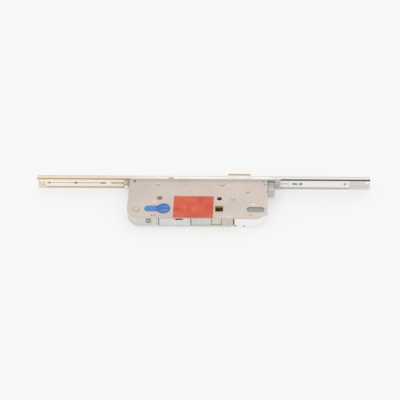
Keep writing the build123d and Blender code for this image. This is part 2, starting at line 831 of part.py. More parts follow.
with BuildPart() as upper_rod:
    add(rod_body(rod_high, upper_joint, 1, cam_high, upper_key_x))
keep(upper_rod, "upper_rod")

with BuildPart() as rod_keys:
    with BuildSketch(front_plane(drive_front - fit_gap)):
        with Locations((lower_key_x, 0), (upper_key_x, 0)):
            SlotOverall(key_length - fit_gap, key_width - fit_gap)
    extrude(amount=drive_thickness - fit_gap + key_proud)
keep(rod_keys, "rod_keys")

with BuildPart() as coupling_block:
    # A toothed block on the slider, beside the upper bracket
    with BuildSketch(front_plane(drive_back)):
        with Locations(((block_low + block_high) / 2, 0)):
            Rectangle(block_high - block_low, 2 * block_half)
    extrude(amount=block_depth)
    tooth_pitch = 2 * block_half / block_teeth
    with BuildSketch(front_plane(drive_back - block_depth)):
        with GridLocations(tooth_pitch, tooth_pitch, 2, block_teeth):
            with Locations(((block_low + block_high) / 2, 0)):
                Rectangle(tooth_pitch / 2, tooth_pitch / 2)
    extrude(amount=block_depth / 2)
keep(coupling_block, "coupling_block")

with BuildPart() as bolt_cam_plate:
    plate_top = inner_half - run_gap / 2
    slot_far = bolt_pin_x - travel
    with BuildSketch(Plane.XY.offset(plate_top - cam_plate_thickness)):
        plate_high = bolt_pin_x + cam_plate_margin
        plate_back = bolt_pin_y - cam_plate_margin
        with Locations(((cam_plate_low + plate_high) / 2, (plate_back + drive_back) / 2)):
            Rectangle(plate_high - cam_plate_low, drive_back - plate_back)
        slot_middle = ((bolt_pin_x + slot_far) / 2, bolt_pin_y + travel / 2)
        with Locations(Location((slot_middle[0], slot_middle[1], 0), (0, 0, -45))):
            SlotCenterToCenter(
                hypot(travel, travel), 2 * (bolt_pin_radius + run_gap / 2), mode=Mode.SUBTRACT
            )
    extrude(amount=cam_plate_thickness)
    corners = bolt_cam_plate.edges().filter_by(Axis.Z).group_by(Axis.Y)[0]
    fillet(corners, bolt_pin_radius)
keep(bolt_cam_plate, "bolt_cam_plate")

with BuildPart() as cam_studs:
    roller_back = backset + roller_gap
    roller_front = roller_back + roller_length
    for x in (cam_low, cam_high):
        with BuildSketch(front_plane(roller_front + fit_gap)):
            with Locations((x, 0)):
                Circle(cam_stud_radius)
        extrude(amount=roller_front + fit_gap - drive_back + key_proud)
        with BuildSketch(front_plane(roller_front + fit_gap + stud_head_length)):
            with Locations((x, 0)):
                Circle(stud_head)
        extrude(amount=stud_head_length)
keep(cam_studs, "cam_studs")


def roller(x):
    """A mushroom roller on a cam stud."""
    with BuildPart() as wheel:
        with BuildSketch(front_plane(roller_front)):
            with Locations((x, 0)):
                Circle(roller_radius)
                Circle(roller_bore, mode=Mode.SUBTRACT)
        extrude(amount=roller_length)
        rims = wheel.edges().filter_by(GeomType.CIRCLE).group_by(SortBy.RADIUS)[-1]
        chamfer(rims, guide_inset)
    return wheel.part


with BuildPart() as lower_roller:
    add(roller(cam_low))
keep(lower_roller, "lower_roller")

with BuildPart() as upper_roller:
    add(roller(cam_high))
keep(upper_roller, "upper_roller")

# Deadbolt

with BuildPart() as deadbolt:
    bolt_x = (bolt_low + bolt_high) / 2
    tail_x_low = bolt_low + bolt_tail_inset
    tail_x_high = bolt_high - bolt_tail_inset
    with BuildSketch(Plane.XY.offset(-bolt_half)):
        with Locations((bolt_x, (bolt_back + backset) / 2)):
            Rectangle(bolt_high - bolt_low, backset - bolt_back)
    extrude(amount=2 * bolt_half)
    fillet(deadbolt.edges().group_by(Axis.Y)[-1], guide_inset)
    with BuildSketch(Plane.XY.offset(bolt_tail_low_z)):
        with Locations(((tail_x_low + tail_x_high) / 2, (bolt_tail_back + bolt_back) / 2)):
            Rectangle(tail_x_high - tail_x_low, bolt_back - bolt_tail_back)
    extrude(amount=tail_thickness)
    with BuildSketch(Plane.XY.offset(-bolt_half - over)):
        with Locations(Location((guide_pin_x, guide_pin_y - travel / 2, 0), (0, 0, 90))):
            SlotCenterToCenter(travel, 2 * (guide_pin_radius + run_gap / 2))
        with Locations((bolt_pin_x, bolt_pin_y)):
            Circle(bolt_pin_radius + fit_gap)
    extrude(amount=2 * (bolt_half + over), mode=Mode.SUBTRACT)
keep(deadbolt, "deadbolt")

with BuildPart() as deadbolt_pin:
    with BuildSketch(Plane.XY.offset(bolt_tail_low_z)):
        with Locations((bolt_pin_x, bolt_pin_y)):
            Circle(bolt_pin_radius)
    extrude(amount=inner_half - run_gap - bolt_tail_low_z)
keep(deadbolt_pin, "deadbolt_pin")

# Latch

latch_x = (latch_low + latch_high) / 2
with BuildPart() as latch_head:
    with BuildSketch(Plane.YZ.offset(latch_low)):
        with BuildLine():
            Polyline(
                (latch_back, -latch_half),
                (backset + latch_nose - latch_chamfer, -latch_half),
                (backset + latch_nose, latch_half - guide_wall),
                (backset + latch_nose, latch_half),
                (latch_back, latch_half),
                close=True,
            )
        make_face()
    extrude(amount=latch_high - latch_low)
    # The step that the tail plate is riveted in
    with BuildSketch(Plane.XY.offset(-latch_half - over)):
        with Locations(((tail_low + tail_high) / 2, latch_back)):
            Rectangle(tail_high - tail_low + 2 * fit_gap, 2 * (lug_depth + fit_gap))
    extrude(amount=tail_thickness + fit_gap + over, mode=Mode.SUBTRACT)
keep(latch_head, "latch_head")

with BuildPart() as latch_tail:
    foot_back = lug_top - lug_depth
    with BuildSketch(Plane.XY.offset(-latch_half)):
        with Locations(((tail_low + tail_high) / 2, (foot_back + latch_back + lug_depth) / 2)):
            Rectangle(tail_high - tail_low, latch_back + lug_depth - foot_back)
        with Locations(((tail_foot_low + tail_high) / 2, (foot_back + tail_foot_top) / 2)):
            Rectangle(tail_high - tail_foot_low, tail_foot_top - foot_back)
        with Locations(((lug_low + tail_high) / 2, (foot_back + lug_top) / 2)):
            Rectangle(tail_high - lug_low, lug_depth)
    extrude(amount=tail_thickness)
keep(latch_tail, "latch_tail")

# Follower, the square nut that the handle turns


def finger(direction, reach, tip, low, high):
    """A finger that points this way, in degrees, with a round tip."""
    turn = radians(direction)
    with BuildPart() as arm:
        with BuildSketch(Plane.XY.offset(low)):
            with Locations(Location((reach / 2 * cos(turn), reach / 2 * sin(turn), 0), (0, 0, direction))):
                Rectangle(reach, finger_width)
            with Locations((reach * cos(turn), reach * sin(turn))):
                Circle(tip)
        extrude(amount=high - low)
    return arm.part


with BuildPart() as follower:
    Cylinder(hub_radius, 2 * case_half)
    Cylinder(follower_radius, 2 * latch_half)
    add(finger(finger_lead, latch_finger_reach, latch_finger_tip, -latch_half, latch_half))
    add(finger(finger_lead - 90, spring_finger_reach, spring_finger_tip, -latch_half / 2, latch_half / 2))
    with BuildSketch(Plane.XY.offset(-case_half - over)):
        Rectangle(spindle_square, spindle_square)
    extrude(amount=2 * (case_half + over), mode=Mode.SUBTRACT)
keep(follower, "follower")

with BuildPart() as spring_cap:
    # The outer wall shows through the open back; the block inside it takes the finger's push
    cap_half = inner_half - run_gap
    cap_back = case_back + case_sheet + fit_gap
    cap_inner = cap_back + cap_wall
    with BuildSketch(Plane.XY.offset(-cap_half)):
        with Locations(((cap_low + cap_high) / 2, cap_back + cap_wall / 2)):
            Rectangle(cap_high - cap_low, cap_wall)
        with Locations(((cap_low + cap_face_x) / 2, cap_inner + cap_lug_depth / 2)):
            Rectangle(cap_face_x - cap_low, cap_lug_depth)
    extrude(amount=2 * cap_half)
keep(spring_cap, "spring_cap")

with BuildPart() as spring_housing:
    # A bright curved panel with an end wall that the handle spring pushes against
    housing_half = inner_half - run_gap / 2
    with BuildSketch(Plane.XY.offset(-housing_half)):
        with Locations(((housing_low + housing_high) / 2, case_back + (case_sheet - fit_gap) / 2)):
            Rectangle(housing_high - housing_low, case_sheet - fit_gap)
        with Locations((housing_low + housing_end / 2, case_back + housing_depth / 2)):
            Rectangle(housing_end, housing_depth)
    extrude(amount=2 * housing_half)
    outer_edges = spring_housing.edges().filter_by(Axis.X).group_by(Axis.Y)[0]
    chamfer(outer_edges, case_sheet / 2)
keep(spring_housing, "spring_housing")

with BuildPart() as rear_shield:
    # A white plastic panel with ribs along its length and a slit under the cover
    rib_pitch = 2 * inner_half / (shield_ribs + 1)
    with BuildSketch(Plane.XY.offset(-inner_half + run_gap / 2)):
        with Locations(((shield_low + shield_high) / 2, case_back + shield_depth / 2)):
            Rectangle(shield_high - shield_low, shield_depth)
    extrude(amount=2 * inner_half - run_gap)
    with BuildSketch(front_plane(case_back - over)):
        with Locations(((shield_low + shield_high) / 2, 0)):
            with GridLocations(shield_high - shield_low, rib_pitch, 1, shield_ribs):
                Rectangle(shield_high - shield_low - 2 * case_sheet, groove_width)
    extrude(amount=-over - groove_depth, mode=Mode.SUBTRACT)
    with BuildSketch(front_plane(case_back - over)):
        with Locations(((slit_low + slit_high) / 2, inner_half)):
            Rectangle(slit_high - slit_low, 2 * case_sheet)
    extrude(amount=-over - shield_depth / 2, mode=Mode.SUBTRACT)
keep(rear_shield, "rear_shield")

# Springs


def coil_spring(start, axis, length, radius, wire, turns):
    """A round-wire compression spring from this place along this axis."""
    step = length / turns
    with BuildPart() as spring:
        with BuildLine():
            wire_path = Helix(
                pitch=step, height=length - wire, radius=radius, center=start, direction=axis
            )
        with BuildSketch(Plane(origin=wire_path @ 0, z_dir=wire_path % 0)):
            Circle(wire / 2)
        sweep(path=wire_path, is_frenet=True)
    return spring.part


latch_spring_z = seat_bottom + latch_coil_radius + latch_wire / 2 - fit_gap
with BuildPart() as latch_spring:
    latch_spring_start = ((tail_low + tail_high) / 2, seat_y + latch_wire / 2 + fit_gap, latch_spring_z)
    latch_spring_length = latch_back - seat_y - 2 * fit_gap
    add(
        coil_spring(
            latch_spring_start,
            (0, 1, 0),
            latch_spring_length,
            latch_coil_radius,
            latch_wire,
            latch_turns,
        )
    )
keep(latch_spring, "latch_spring")

with BuildPart() as handle_spring:
    spring_low_x = housing_low + housing_end + fit_gap
    handle_spring_y = cap_inner + cap_lug_depth / 2
    add(
        coil_spring(
            (spring_low_x + handle_wire / 2, handle_spring_y, 0),
            (1, 0, 0),
            cap_low - fit_gap - spring_low_x,
            handle_coil_radius,
            handle_wire,
            handle_turns,
        )
    )
keep(handle_spring, "handle_spring")

# Gears


def involute_half_angle(teeth, radius):
    """Half the angle of a tooth at this radius, from the involute of its base circle."""
    pitch_radius = gear_module * teeth / 2
    base_radius = pitch_radius * cos(radians(pressure_angle))
    here = acos(base_radius / max(radius, base_radius))
    spread = tan(radians(pressure_angle)) - radians(pressure_angle) - tan(here) + here
    return (pitch / 2 - backlash) / (2 * pitch_radius) + spread


def gear_outline(teeth, phase):
    """A gear's outline: involute flanks and radial roots, with a tooth at the phase angle."""
    pitch_radius = gear_module * teeth / 2
    root = pitch_radius - dedendum
    tip = pitch_radius + addendum
    points = []
    for k in range(teeth):
        middle = phase + 2 * pi * k / teeth
        radii = [root + (tip - root) * i / (flank_points - 1) for i in range(flank_points)]
        for radius in radii:
            angle = middle - involute_half_angle(teeth, radius)
            points.append((radius * cos(angle), radius * sin(angle)))
        for radius in reversed(radii):
            angle = middle + involute_half_angle(teeth, radius)
            points.append((radius * cos(angle), radius * sin(angle)))
    with BuildSketch() as outline:
        with BuildLine():
            Polyline(*points, close=True)
        make_face()
    return outline.sketch


def meshing_phase(teeth_a, phase_a, teeth_b, a_x, a_y, b_x, b_y):
    """The phase of gear B whose gap faces the tooth of gear A on their line of centres."""
    direction = atan2(b_y - a_y, b_x - a_x)
    share_a = (direction - phase_a) * teeth_a / (2 * pi)
    share_b = 0.5 - share_a
    return direction + pi - share_b * 2 * pi / teeth_b


rack_share = (pinion_x - rack_start) / pitch
pinion_phase = pi / 2 - (0.5 - rack_share) * 2 * pi / pinion_teeth
idler_phase = meshing_phase(
    pinion_teeth, pinion_phase, idler_teeth, pinion_x, pinion_y, idler_x, idler_y
)
wheel_phase = meshing_phase(idler_teeth, idler_phase, wheel_teeth, idler_x, idler_y, wheel_x, wheel_y)

with BuildPart() as rack_pinion:
    with BuildSketch(Plane.XY.offset(gear_low_z)):
        with Locations((pinion_x, pinion_y)):
            add(gear_outline(pinion_teeth, pinion_phase))
            Circle(axle_radius + fit_gap, mode=Mode.SUBTRACT)
    extrude(amount=gear_thickness)
keep(rack_pinion, "rack_pinion")

with BuildPart() as idler_gear:
    with BuildSketch(Plane.XY.offset(gear_low_z)):
        with Locations((idler_x, idler_y)):
            add(gear_outline(idler_teeth, idler_phase))
            Circle(axle_radius + fit_gap, mode=Mode.SUBTRACT)
    extrude(amount=gear_thickness)
keep(idler_gear, "idler_gear")

with BuildPart() as cam_wheel:
    with BuildSketch(Plane.XY.offset(gear_low_z)):
        with Locations((wheel_x, wheel_y)):
            add(gear_outline(wheel_teeth, wheel_phase))
    extrude(amount=gear_thickness)
    # The driver disc under the gear, with the notches that the key's cam turns
    with BuildSketch(Plane.XY.offset(driver_low_z)):
        with Locations((wheel_x, wheel_y)):
            Circle(driver_radius)
            with PolarLocations(driver_radius, driver_notches, start_angle=-90):
                Rectangle(2 * driver_notch_depth, driver_notch_width, mode=Mode.SUBTRACT)
    extrude(amount=gear_low_z - driver_low_z)
    hub_top = case_half - hub_inset
    with BuildSketch(Plane.XY.offset(-hub_top)):
        with Locations((wheel_x, wheel_y)):
            Circle(hub_ring)
    extrude(amount=2 * hub_top)
    with BuildSketch(Plane.XY.offset(-case_half)):
        with Locations((wheel_x, wheel_y)):
            Circle(hub_bore)
    extrude(amount=2 * case_half, mode=Mode.SUBTRACT)
keep(cam_wheel, "cam_wheel")

# Sticker and cylinder plug

with BuildPart() as label:
    label_high = -hub_radius - run_gap
    with BuildSketch(Plane.XY.offset(case_half)):
        with Locations(((label_low + label_high) / 2, (label_back + label_front) / 2)):
            RectangleRounded(label_high - label_low, label_front - label_back, label_corner)
    extrude(amount=label_thickness)
keep(label, "label")

with BuildPart() as cylinder_plug:
    with BuildSketch(Plane.XY.offset(-case_half)):
        add(plug_outline(0))
    extrude(amount=2 * case_half + plug_proud)
    chamfer(cylinder_plug.edges().group_by(Axis.Z)[-1], plug_proud / 2)
    with BuildSketch(Plane.XY.offset(case_half + plug_proud)):
        with Locations((cylinder_x, 0)):
            SlotOverall(cylinder_web, plug_groove)
    extrude(amount=-plug_groove, mode=Mode.SUBTRACT)
keep(cylinder_plug, "cylinder_plug")
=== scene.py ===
import bpy
import json
from math import pi, radians
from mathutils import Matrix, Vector


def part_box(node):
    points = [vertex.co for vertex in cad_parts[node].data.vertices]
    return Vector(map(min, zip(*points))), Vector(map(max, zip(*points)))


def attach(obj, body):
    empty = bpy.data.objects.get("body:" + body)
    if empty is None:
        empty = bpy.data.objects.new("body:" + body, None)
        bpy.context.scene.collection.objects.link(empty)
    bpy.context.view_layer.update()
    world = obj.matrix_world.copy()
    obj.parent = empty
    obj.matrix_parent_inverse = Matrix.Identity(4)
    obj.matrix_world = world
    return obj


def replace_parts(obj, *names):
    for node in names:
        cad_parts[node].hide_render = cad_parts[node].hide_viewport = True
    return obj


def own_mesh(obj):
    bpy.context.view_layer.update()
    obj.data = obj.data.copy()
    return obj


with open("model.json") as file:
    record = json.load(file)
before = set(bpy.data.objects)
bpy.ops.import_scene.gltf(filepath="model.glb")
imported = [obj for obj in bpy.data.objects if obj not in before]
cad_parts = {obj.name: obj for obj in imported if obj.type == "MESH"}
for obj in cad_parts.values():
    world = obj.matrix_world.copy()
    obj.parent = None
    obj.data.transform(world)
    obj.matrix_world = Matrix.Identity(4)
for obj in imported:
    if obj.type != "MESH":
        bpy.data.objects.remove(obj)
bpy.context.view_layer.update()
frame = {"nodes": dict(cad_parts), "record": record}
MM = 0.001
bpy.ops.object.select_all(action="DESELECT")

# Places that the frame gives: the cover's face in mm, and the floor under the faceplate
on_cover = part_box("case_cover")[1].z / MM
floor_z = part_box("faceplate")[0].z

# Materials


def linear(hex_colour):
    """An sRGB hex colour as linear light, with an alpha of 1."""
    channels = [int(hex_colour[i : i + 2], 16) / 255 for i in (0, 2, 4)]
    return [c / 12.92 if c <= 0.04045 else ((c + 0.055) / 1.055) ** 2.4 for c in channels] + [1]


def add_node(tree, kind, settings=None, links=None):
    """Adds a node with its settings, and links other nodes' outputs to its inputs."""
    new = tree.nodes.new(kind)
    for name, value in (settings or {}).items():
        if name in new.inputs:
            new.inputs[name].default_value = value
        else:
            setattr(new, name, value)
    for name, source in (links or {}).items():
        tree.links.new(source, new.inputs[name])
    return new


def metal(name, colours, roughness, metallic, grain_mm, stretch, bump, patch_mm=25, zones=()):
    """A metal with soft patches of tone, and a fine grain that may be drawn out along X.

    A zone is (axis, start, end, colour) in mm: the tone passes into its colour from start to end.
    """
    material = bpy.data.materials.new(name)
    material.use_nodes = True
    tree = material.node_tree
    shader = tree.nodes["Principled BSDF"]
    shader.inputs["Metallic"].default_value = metallic
    place = add_node(tree, "ShaderNodeTexCoord").outputs["Object"]
    patches = add_node(
        tree, "ShaderNodeTexNoise", {"Scale": 1 / (patch_mm * MM), "Detail": 3.0}, {"Vector": place}
    )
    ramp = add_node(tree, "ShaderNodeValToRGB", links={"Fac": patches.outputs["Fac"]})
    ramp.color_ramp.elements[0].position = 0.35
    ramp.color_ramp.elements[0].color = linear(colours[0])
    ramp.color_ramp.elements[1].position = 0.65
    ramp.color_ramp.elements[1].color = linear(colours[1])
    drawn = add_node(tree, "ShaderNodeMapping", {"Scale": (1 / stretch, 1, 1)}, {"Vector": place})
    grain = add_node(
        tree,
        "ShaderNodeTexNoise",
        {"Scale": 1 / (grain_mm * MM), "Detail": 4.0},
        {"Vector": drawn.outputs["Vector"]},
    )
    gloss = add_node(
        tree,
        "ShaderNodeMapRange",
        {"To Min": roughness - 0.06, "To Max": roughness + 0.08},
        {"Value": grain.outputs["Fac"]},
    )
    relief = add_node(
        tree,
        "ShaderNodeBump",
        {"Strength": bump, "Distance": 0.05 * MM},
        {"Height": grain.outputs["Fac"]},
    )
    tone = ramp.outputs["Color"]
    parts = add_node(tree, "ShaderNodeSeparateXYZ", links={"Vector": place})
    for axis, start, end, colour in zones:
        reach = add_node(
            tree,
            "ShaderNodeMapRange",
            {"From Min": start * MM, "From Max": end * MM},
            {"Value": parts.outputs[axis]},
        )
        # Sockets 0, 6 and 7 of a colour mix are its factor and its two colours
        factors = {0: reach.outputs["Result"], 6: tone}
        blend = add_node(tree, "ShaderNodeMix", {"data_type": "RGBA"}, factors)
        blend.inputs[7].default_value = linear(colour)
        tone = blend.outputs[2]
    tree.links.new(tone, shader.inputs["Base Color"])
    tree.links.new(gloss.outputs["Result"], shader.inputs["Roughness"])
    tree.links.new(relief.outputs["Normal"], shader.inputs["Normal"])
    return material


def plastic(name, colours, roughness, grain_mm=0.6, bump=0.15):
    """A moulded plastic with a faint spark-eroded grain and slight shifts of tone."""
    material = metal(name, colours, roughness, 0.0, grain_mm, 1, bump, patch_mm=12)
    material.node_tree.nodes["Principled BSDF"].inputs["IOR"].default_value = 1.49
    return material


# Sheet steel with a clear zinc plating: satin, pale and slightly pink-grey, drawn out along the strip
cover_zinc = metal("zinc_plated_sheet", ("cdc0b7", "d5c8bf"), 0.42, 0.5, 1.6, 6, 0.25, 40)
# The folded walls show the same plating in a cooler tone, which brightens towards the upper end
wall_zinc = metal(
    "zinc_plated_wall",
    ("d2cec8", "dcd8d2"),
    0.36,
    0.4,
    1.4,
    8,
    0.2,
    zones=(("X", 14, 20, "f6f4f2"),),
)
# Faceplate steel with painted light in its zones: warm painted light at its lower end, grey painted shade
# past the case, a line of painted shade along its outer bends, and painted light that whitens the flange
# that lies on the floor
face_zinc = metal(
    "brushed_faceplate_steel",
    ("f6f1ea", "faf7f2"),
    0.38,
    0.35,
    0.8,
    30,
    0.2,
    zones=(
        ("X", -60, -130, "eedfca"),
        ("X", 62, 72, "e4e1dc"),
        ("Z", -7.8, -8.4, "fbfaf7"),
        ("Y", 58.35, 58.7, "75716d"),
        ("Y", 59.6, 59.9, "e9e5df"),
    ),
)
# Drive parts in pale cream, painted warm light, which turns grey white towards the upper end as painted
# cooler light
rod_zinc = metal(
    "drive_steel_painted_light",
    ("faf0df", "fcf5ea"),
    0.4,
    0.3,
    1.2,
    12,
    0.15,
    60,
    zones=(("X", 40, 80, "f3f2f0"),),
)
# Die-cast follower with a stronger yellow passivation, and painted shade that darkens down its bore
cast_brass = metal(
    "yellow_passivated_casting",
    ("c9b06e", "dccb96"),
    0.42,
    0.25,
    0.9,
    1,
    0.3,
    zones=(("Z", 5.8, 3.0, "5f4a28"),),
)
# Sintered and machined steel, darker and glossier
gear_steel = metal("oiled_gear_steel", ("8f8d89", "a9a6a1"), 0.34, 0.9, 0.7, 1, 0.3)
# Heads that are rubbed a little brighter than the sheet around them
head_zinc = metal("rubbed_zinc_head", ("d6cbc3", "dfd5cd"), 0.38, 0.4, 0.9, 1, 0.2)
# Spot welds, where the plating has burnt to a paler tone
spot_zinc = metal("spot_welded_zinc", ("e0d6ce", "ebe3dc"), 0.4, 0.4, 0.9, 1, 0.2)
# Plain steel of the brackets and rivets, a flat mid grey
bracket_steel = metal("blank_bracket_steel", ("b4b1b0", "c6c4c2"), 0.4, 0.4, 1.0, 4, 0.3)
# The stud's bracket, cast and nearly white
pale_steel = metal("pale_zinc_casting", ("e2ded8", "f0ede8"), 0.4, 0.3, 1.0, 1, 0.2)
# Small coupling and stop parts: mottled grey
mottled_steel = metal("phosphated_steel", ("c6c2be", "f4f1ed"), 0.5, 0.25, 0.5, 1, 0.5, 1.6)
# Greased bore of the fixing sleeve, whose brown also paints the shade in the wheel's hub
bore_grease_and_shade = metal("bore_grease_and_painted_shade", ("7d6a5c", "9c8a7b"), 0.4, 0.2, 0.6, 1, 0.2, 3)
# Drawn spring wire, the brightest metal of the part
spring_wire = metal("bright_spring_wire", ("b8b8b6", "c8c8c6"), 0.28, 0.95, 0.4, 1, 0.1)
# The latch keeps a brown anti-friction film on its nose
latch_steel = metal(
    "nickel_plated_latch",
    ("c9b9ac", "d6cabf"),
    0.36,
    0.4,
    0.9,
    10,
    0.2,
    zones=(("Y", 60.4, 61.4, "bba18e"),),
)
# The plate that shows through the slot, dull grey
slot_steel = metal("dull_slot_plate", ("979893", "a3a49f"), 0.5, 0.3, 0.9, 6, 0.2)
# Moulded parts: the plug in blue, with a darker blue on its rim and groove as painted shade along their
# edges
blue_plastic = plastic("blue_polypropylene", ("4577bb", "588bd0"), 0.42)
blue_plastic_edge_shade = plastic("blue_polypropylene_painted_edge_shade", ("2f5596", "3d68ab"), 0.45)
# The latch guide, warm white and a little glossy
white_plastic = plastic("white_acetal", ("e4dfd8", "f1eee9"), 0.4)
# The rear shield, a greyer white
shield_plastic = plastic("white_polystyrene", ("dad7d3", "e6e3df"), 0.45)
# The spring's cap
beige_plastic = plastic("beige_acetal", ("d8cfc0", "e4dccf"), 0.45)
# Film label, printed red, faded in patches, with a faint paper tooth
label_film = plastic("red_label_film", ("c84a2e", "d86244"), 0.5, 0.5, 0.08)
# Punched and rubbed marks keep a little dark oil, and the same dark tone is painted shade round the large
# head and in the stud's seat; pressed lines and rings are a little darker than the sheet, painted shade
# in their shallow creases
oil_mark_and_shade = metal("oil_dark_mark_and_painted_shade", ("5e534b", "7b6e65"), 0.5, 0.3, 0.5, 1, 0.2)
press_line = metal("pressed_line_in_sheet", ("b3a69d", "bdb0a7"), 0.45, 0.4, 0.8, 4, 0.2)
# Scratches down to the bright metal, and painted highlights across the upper bracket
bare_spot_and_highlight = metal("bright_rubbed_spot_and_painted_highlight", ("ece6e0", "f4f0ea"), 0.35, 0.3, 0.8, 4, 0.2)
# Painted shade, nearly black, where the case opens to its dark inside and in the channel under the flange
deep_painted_shade = metal("deep_painted_shade_tone", ("1f1b18", "2f2924"), 0.65, 0.0, 0.6, 1, 0.2)
# Painted shade in the rods' grooves and under the flange's edge, a darker tone of the drive
rod_line = metal("shadowed_rod_line", ("a8957a", "b7a68c"), 0.5, 0.3, 0.8, 10, 0.2)

# Modelling helpers

# Nodes whose flat faces stay as they are, since joining them would close a hole or open a seam
unjoined = ("follower", "latch_guide", "latch_spring", "handle_spring")


def finish_piece(piece, name, body, material):
    """Names a piece, gives it its material and its body, and bakes its place into its mesh."""
    bpy.ops.object.select_all(action="DESELECT")
    piece.select_set(True)
    bpy.context.view_layer.objects.active = piece
    bpy.ops.object.transform_apply(location=True, rotation=True, scale=True)
    piece.name = name
    piece.data.name = name
    piece.data.materials.clear()
    piece.data.materials.append(material)
    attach(piece, body)
    piece.select_set(False)
    return piece


def apply_bevel(piece, width, segments=2, angle=35):
    """Rounds the sharp edges of a piece and keeps the result in its mesh."""
    bpy.ops.object.select_all(action="DESELECT")
    piece.select_set(True)
    bpy.context.view_layer.objects.active = piece
    bevel = piece.modifiers.new("edge", "BEVEL")
    bevel.width = width
    bevel.segments = segments
    bevel.limit_method = "ANGLE"
    bevel.angle_limit = radians(angle)
    bevel.harden_normals = False
    bpy.ops.object.modifier_apply(modifier=bevel.name)
    bpy.ops.object.shade_smooth_by_angle(angle=radians(35))
    weigh = piece.modifiers.new("weigh", "WEIGHTED_NORMAL")
    weigh.weight = 100
    weigh.keep_sharp = True
    bpy.ops.object.modifier_apply(modifier=weigh.name)


def merged_copy(node):
    """A copy of a CAD node with a mesh of its own, whose faces share their corners.

    Flat faces are joined, but not on the nodes that are listed as unjoined.
    """
    source = frame["nodes"][node]
    piece = source.copy()
    piece.data = source.data.copy()
    piece.parent = None
    bpy.context.scene.collection.objects.link(piece)
    bpy.ops.object.select_all(action="DESELECT")
    piece.select_set(True)
    bpy.context.view_layer.objects.active = piece
    bpy.ops.object.mode_set(mode="EDIT")
    bpy.ops.mesh.select_all(action="SELECT")
    bpy.ops.mesh.remove_doubles(threshold=0.002 * MM)
    if node not in unjoined:
        bpy.ops.mesh.dissolve_limited(angle_limit=radians(1))
    bpy.ops.object.mode_set(mode="OBJECT")
    return piece


def eased(nodes, body, width, material):
    """A copy of CAD nodes as one piece, whose sharp edges are broken as on the real piece."""
    piece = merged_copy(nodes[0])
    for node in nodes[1:]:
        joined = merged_copy(node)
        bpy.context.view_layer.objects.active = piece
        union = piece.modifiers.new("join", "BOOLEAN")
        union.operation = "UNION"
        union.object = joined
        bpy.ops.object.modifier_apply(modifier=union.name)
        bpy.data.objects.remove(joined)
    apply_bevel(piece, width)
    finish_piece(piece, nodes[0] + "_eased", body, material)
    for node in nodes:
        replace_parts(piece, node)
    return piece


def repeat(first, shift, name, body):
    """A copy of a finished piece with a mesh of its own, moved by a shift in mm."""
    piece = first.copy()
    piece.data = first.data.copy()
    bpy.context.scene.collection.objects.link(piece)
    piece.location = Vector(shift) * MM
    return finish_piece(piece, name, body, first.data.materials[0])


def begin(primitive, **settings):
    """Starts a piece from a primitive and opens it for editing, with all of it selected."""
    bpy.ops.object.select_all(action="DESELECT")
    primitive(**settings)
    bpy.ops.object.mode_set(mode="EDIT")
    bpy.ops.mesh.select_all(action="SELECT")
    return bpy.context.active_object


def bar(low, high, edge, name, body, material, turn=0, tilt=0):
    """A bar between two corners in mm with rounded edges, tilted about X and turned about Z."""
    piece = begin(bpy.ops.mesh.primitive_cube_add, size=1)
    bpy.ops.transform.resize(value=(Vector(high) - Vector(low)) * MM, center_override=(0, 0, 0))
    bpy.ops.mesh.bevel(offset=edge * MM, segments=2, affect="EDGES")
    # The operator turns clockwise for a positive value
    bpy.ops.transform.rotate(value=-radians(tilt), orient_axis="X", center_override=(0, 0, 0))
    bpy.ops.transform.rotate(value=-radians(turn), orient_axis="Z", center_override=(0, 0, 0))
    bpy.ops.transform.translate(value=(Vector(high) + Vector(low)) * MM / 2)
    bpy.ops.mesh.normals_make_consistent(inside=False)
    bpy.ops.object.mode_set(mode="OBJECT")
    return finish_piece(piece, name, body, material)


def turned(profile, place, name, body, material, axis="Z", steps=40):
    """A piece of revolution: a profile of (radius, height) points in mm, drawn out and spun."""
    piece = begin(bpy.ops.mesh.primitive_plane_add, size=MM)
    bpy.ops.mesh.merge(type="CENTER")
    bpy.ops.transform.translate(value=(profile[0][0] * MM, 0, profile[0][1] * MM))
    for (radius, height), (wider, higher) in zip(profile, profile[1:]):
        bpy.ops.mesh.extrude_region_move()
        bpy.ops.transform.translate(value=((wider - radius) * MM, 0, (higher - height) * MM))
    bpy.ops.mesh.select_all(action="SELECT")
    bpy.ops.mesh.spin(steps=steps, angle=2 * pi, center=(0, 0, 0), axis=(0, 0, 1))
    bpy.ops.mesh.select_all(action="SELECT")
    bpy.ops.mesh.remove_doubles(threshold=0.001 * MM)
    if profile[0][0]:
        # A disc closes the base of a head, and a strip that of a ring
        bpy.ops.mesh.select_all(action="DESELECT")
        bpy.ops.mesh.select_non_manifold()
        if profile[-1][0]:
            bpy.ops.mesh.bridge_edge_loops()
        else:
            bpy.ops.mesh.edge_face_add()
        bpy.ops.mesh.select_all(action="SELECT")
    if axis == "Y":
        bpy.ops.transform.rotate(value=-radians(90), orient_axis="X", center_override=(0, 0, 0))
    bpy.ops.transform.translate(value=Vector(place) * MM)
    bpy.ops.mesh.normals_make_consistent(inside=False)
    bpy.ops.object.mode_set(mode="OBJECT")
    bpy.ops.object.shade_smooth_by_angle(angle=radians(35))
    return finish_piece(piece, name, body, material)


